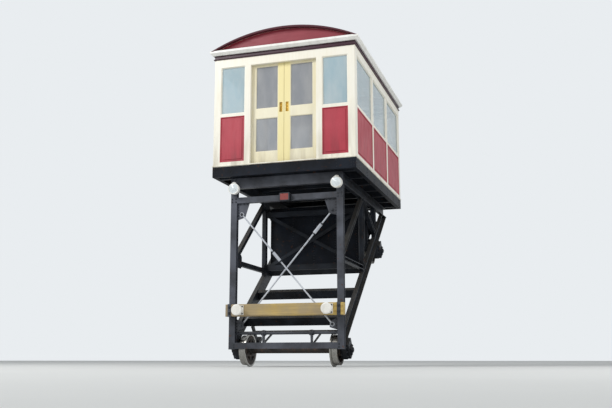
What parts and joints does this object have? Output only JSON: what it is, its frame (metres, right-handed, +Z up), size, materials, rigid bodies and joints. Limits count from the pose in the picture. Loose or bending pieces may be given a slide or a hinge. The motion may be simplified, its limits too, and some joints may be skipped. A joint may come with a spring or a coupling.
{
  "type": "funicular railway car",
  "caption": "Funicular car with a level glazed timber cabin, sliding end doors and a tall black wedge underframe on two flanged wheelsets.",
  "frame": {"origin": "middle of the rail-top plane between the four wheel contacts, cabin level", "axes": "+Z up, +Y level and uphill, +X to the right looking uphill; the rails climb 0.78 for each 1 along +Y"},
  "size_m": [2.7, 4, 5.8027],
  "materials": {
    "cream": "painted",
    "maroon": "painted",
    "white": "painted",
    "door_cream": "painted",
    "glass": "clear",
    "roof_felt": "felted",
    "floor_wood": "oiled",
    "bench_wood": "varnished",
    "black_steel": "satin",
    "rod_steel": "satin",
    "wheel_steel": "worn",
    "beam_timber": "painted",
    "lamp_white": "frosted",
    "lamp_red": "clear"
  },
  "bodies": {
    "car": {"floor_frame": "black_steel", "floor_bearers": "black_steel", "floor_boards": "floor_wood", "door_guides": "black_steel", "lower_end_wall": "cream", "upper_end_wall": "cream", "right_side_wall": "cream", "left_side_wall": "cream", "wall_panels": "maroon", "window_panes": "glass", "frieze": "maroon", "cornice": "white", "roof": "roof_felt", "roof_hoops": "white", "arch_boards": "maroon", "door_tracks": "black_steel", "bench_slats": "bench_wood", "bench_supports": "bench_wood", "solebars": "black_steel", "right_truss": "black_steel", "left_truss": "black_steel", "front_frame": "black_steel", "front_tie_rods": "rod_steel", "middle_frame": "black_steel", "cross_members": "black_steel", "ballast_tank": "black_steel", "buffer_beam": "beam_timber", "buffers": "white", "marker_lamps": "white", "marker_lenses": "lamp_white", "tail_lamp": "black_steel", "tail_lens": "lamp_red", "axle_boxes": "black_steel", "brake_shaft": "rod_steel", "rail_brakes": "black_steel", "rope_hitch": "black_steel"},
    "lower_wheelset": {"lower_wheelset": "wheel_steel"},
    "upper_wheelset": {"upper_wheelset": "wheel_steel"},
    "lower_door_right": {"lower_door_right": "door_cream", "lower_door_glass_right": "glass"},
    "lower_door_left": {"lower_door_left": "door_cream", "lower_door_glass_left": "glass"},
    "upper_door_right": {"upper_door_right": "door_cream", "upper_door_glass_right": "glass"},
    "upper_door_left": {"upper_door_left": "door_cream", "upper_door_glass_left": "glass"}
  },
  "joints": [
    {"name": "lower_wheelset_spin", "type": "hinge", "parent": "car", "child": "lower_wheelset", "pos_m": [0, -1.40376, -0.77787], "axis": [1, 0, 0], "continuous": true},
    {"name": "upper_wheelset_spin", "type": "hinge", "parent": "car", "child": "upper_wheelset", "pos_m": [0, 1.09624, 1.17213], "axis": [1, 0, 0], "continuous": true},
    {"name": "lower_door_right_slide", "type": "slide", "parent": "car", "child": "lower_door_right", "axis": [1, 0, 0], "range_m": [0, 0.5]},
    {"name": "lower_door_left_slide", "type": "slide", "parent": "car", "child": "lower_door_left", "axis": [-1, 0, 0], "range_m": [0, 0.5]},
    {"name": "upper_door_right_slide", "type": "slide", "parent": "car", "child": "upper_door_right", "axis": [1, 0, 0], "range_m": [0, 0.5]},
    {"name": "upper_door_left_slide", "type": "slide", "parent": "car", "child": "upper_door_left", "axis": [-1, 0, 0], "range_m": [0, 0.5]}
  ]
}
